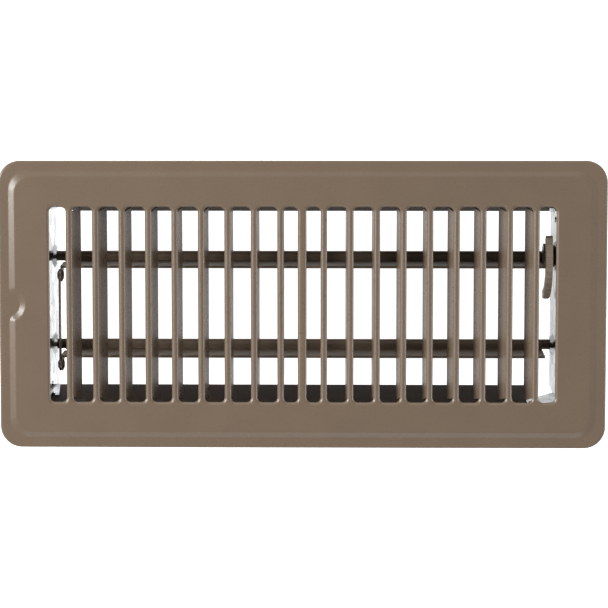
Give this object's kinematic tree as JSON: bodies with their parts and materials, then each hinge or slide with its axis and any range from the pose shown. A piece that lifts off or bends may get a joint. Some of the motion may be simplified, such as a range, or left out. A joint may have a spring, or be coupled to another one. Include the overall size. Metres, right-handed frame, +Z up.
{
  "type": "louvred floor grille",
  "caption": "Rectangular stamped steel floor grille with folded vanes, a drop-in damper box and a two-blade damper worked by a ribbed thumb lever.",
  "frame": {"origin": "centre of the face plate on the floor plane, the plane of the rim's lower edge", "axes": "+X along the length towards the thumb lever, +Y across the width towards the rear blade, +Z up out of the floor"},
  "size_m": [0.292, 0.1386, 0.0543],
  "materials": {
    "taupe_enamel": "satin",
    "dark_enamel": "satin",
    "galvanised_steel": "bright",
    "dark_steel": "satin",
    "rivet_steel": "satin",
    "lever_plastic": "satin",
    "washer_fibre": "matte"
  },
  "bodies": {
    "grille": {"face_plate": "taupe_enamel", "side_wall_front": "dark_enamel", "side_wall_rear": "dark_enamel", "end_wall_left": "galvanised_steel", "end_wall_right": "galvanised_steel", "corner_rivets": "rivet_steel"},
    "damper_rear": {"blade_rear": "dark_enamel", "pivot_pin_rear_left": "dark_steel", "pivot_pin_rear_right": "dark_steel", "thumb_lever": "lever_plastic", "lever_rivet": "rivet_steel", "friction_washer": "washer_fibre", "link_rivet_rear": "dark_steel", "link_washer_rear": "rivet_steel"},
    "damper_front": {"blade_front": "dark_enamel", "pivot_pin_front_left": "dark_steel", "pivot_pin_front_right": "dark_steel", "link_rivet_front": "dark_steel", "link_washer_front": "rivet_steel"},
    "link": {"tie_link": "rivet_steel"}
  },
  "joints": [
    {"name": "damper_rear_pivot", "type": "hinge", "parent": "grille", "child": "damper_rear", "pos_m": [0, 0.02185, -0.028], "axis": [-1, 0, 0], "range_deg": [0, 95]},
    {"name": "damper_front_pivot", "type": "hinge", "parent": "grille", "child": "damper_front", "pos_m": [0, -0.02185, -0.028], "axis": [-1, 0, 0], "range_deg": [0, 95]},
    {"name": "link_rear_pivot", "type": "hinge", "parent": "damper_rear", "child": "link", "pos_m": [-0.1185, 0.01335, -0.0111], "axis": [-1, 0, 0], "range_deg": [-95, 0]}
  ],
  "couplings": [
    {"joint": "damper_front_pivot", "follows": "damper_rear_pivot", "ratio": 1},
    {"joint": "link_rear_pivot", "follows": "damper_rear_pivot", "ratio": -1}
  ]
}
